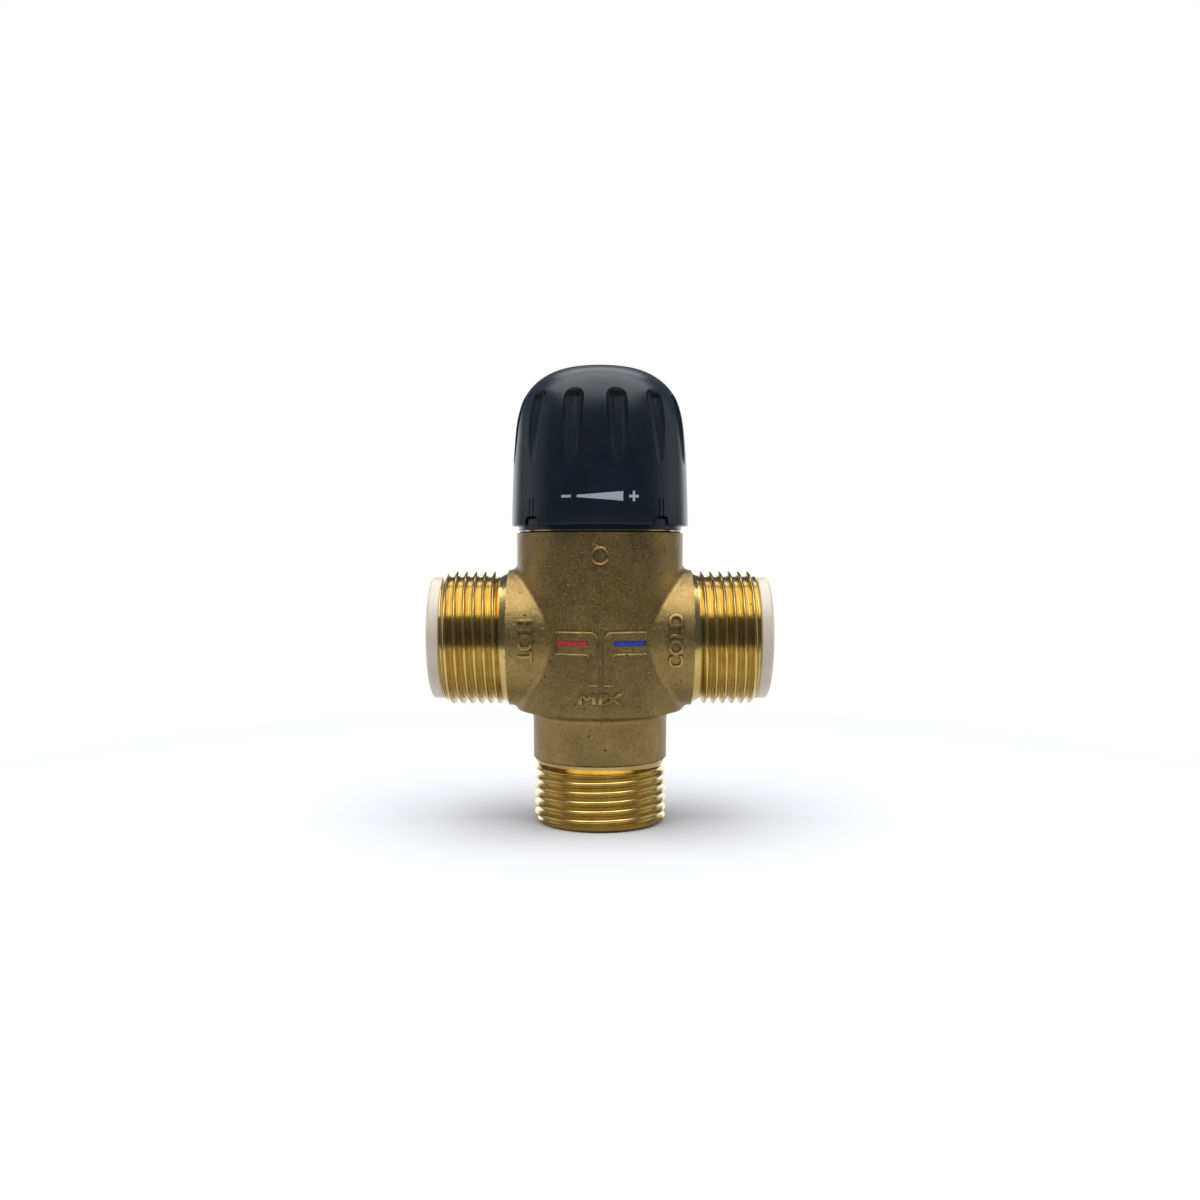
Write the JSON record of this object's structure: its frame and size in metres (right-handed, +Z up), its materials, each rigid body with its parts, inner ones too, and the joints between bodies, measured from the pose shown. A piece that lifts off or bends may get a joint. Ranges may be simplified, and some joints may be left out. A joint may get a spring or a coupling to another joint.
{
  "type": "thermostatic mixing valve",
  "caption": "Brass three-way mixing valve with side inlets for hot and cold water, a mixed outlet below and a black setting knob on top.",
  "frame": {"origin": "centre of the outlet's end face, on which the valve stands", "axes": "+Z up along the spindle towards the knob, -X to the hot inlet, +X to the cold inlet, -Y to the front with the arrows"},
  "size_m": [0.083, 0.0434, 0.1122],
  "materials": {
    "cast_brass": "sand-cast and blasted, with turned bright threads",
    "turned_brass": "bright turned",
    "black_plastic": "moulded satin black",
    "grey_plastic": "moulded satin grey",
    "white_plastic": "moulded natural white, slightly translucent",
    "black_rubber": "matte",
    "bright_steel": "bright drawn stainless"
  },
  "bodies": {
    "root": {"valve_body": "cast_brass", "bonnet": "turned_brass", "bonnet_seal": "black_rubber", "hub_clip": "bright_steel", "return_spring": "bright_steel", "hot_check_body": "white_plastic", "hot_check_cage": "white_plastic", "hot_check_seal": "black_rubber", "hot_check_spring": "bright_steel", "cold_check_body": "white_plastic", "cold_check_cage": "white_plastic", "cold_check_seal": "black_rubber", "cold_check_spring": "bright_steel"},
    "hub": {"adjusting_hub": "black_plastic"},
    "cap": {"knob_cap": "black_plastic"},
    "spindle": {"spindle": "turned_brass", "spindle_seal": "black_rubber", "spline_driver": "grey_plastic", "driver_screw": "bright_steel", "overload_spring": "bright_steel", "overload_clip": "bright_steel"},
    "overload": {"overload_cup": "turned_brass", "wax_piston": "bright_steel"},
    "shuttle": {"wax_element": "turned_brass", "mixing_spool": "grey_plastic", "spool_seal": "black_rubber", "element_clip": "bright_steel"},
    "hot_poppet": {"hot_check_poppet": "white_plastic", "hot_poppet_seal": "black_rubber"},
    "cold_poppet": {"cold_check_poppet": "white_plastic", "cold_poppet_seal": "black_rubber"}
  },
  "joints": [
    {"name": "knob_turn", "type": "hinge", "parent": "root", "child": "hub", "pos_m": [0, 0, 0.08], "axis": [0, 0, 1], "range_deg": [-150, 150]},
    {"name": "cap_pull", "type": "slide", "parent": "hub", "child": "cap", "axis": [0, 0, 1], "range_m": [0, 0.03]},
    {"name": "spindle_travel", "type": "slide", "parent": "hub", "child": "spindle", "axis": [0, 0, 1], "range_m": [-0.00062, 0.00062]},
    {"name": "overload_travel", "type": "slide", "parent": "spindle", "child": "overload", "axis": [0, 0, 1], "range_m": [0, 0.003], "stiffness_N_per_m": 6000, "springref_m": -0.004, "deforming": ["overload_spring"]},
    {"name": "shuttle_travel", "type": "slide", "parent": "root", "child": "shuttle", "axis": [0, 0, 1], "range_m": [-0.0018, 0], "stiffness_N_per_m": 3000, "springref_m": 0.006, "deforming": ["return_spring"]},
    {"name": "hot_check_open", "type": "slide", "parent": "root", "child": "hot_poppet", "axis": [1, 0, 0], "range_m": [0, 0.003], "stiffness_N_per_m": 150, "springref_m": -0.002, "deforming": ["hot_check_spring"]},
    {"name": "cold_check_open", "type": "slide", "parent": "root", "child": "cold_poppet", "axis": [-1, 0, 0], "range_m": [0, 0.003], "stiffness_N_per_m": 150, "springref_m": -0.002, "deforming": ["cold_check_spring"]}
  ],
  "couplings": [
    {"joint": "knob_turn", "follows": "spindle_travel", "rad_per_m": 4188.8}
  ]
}
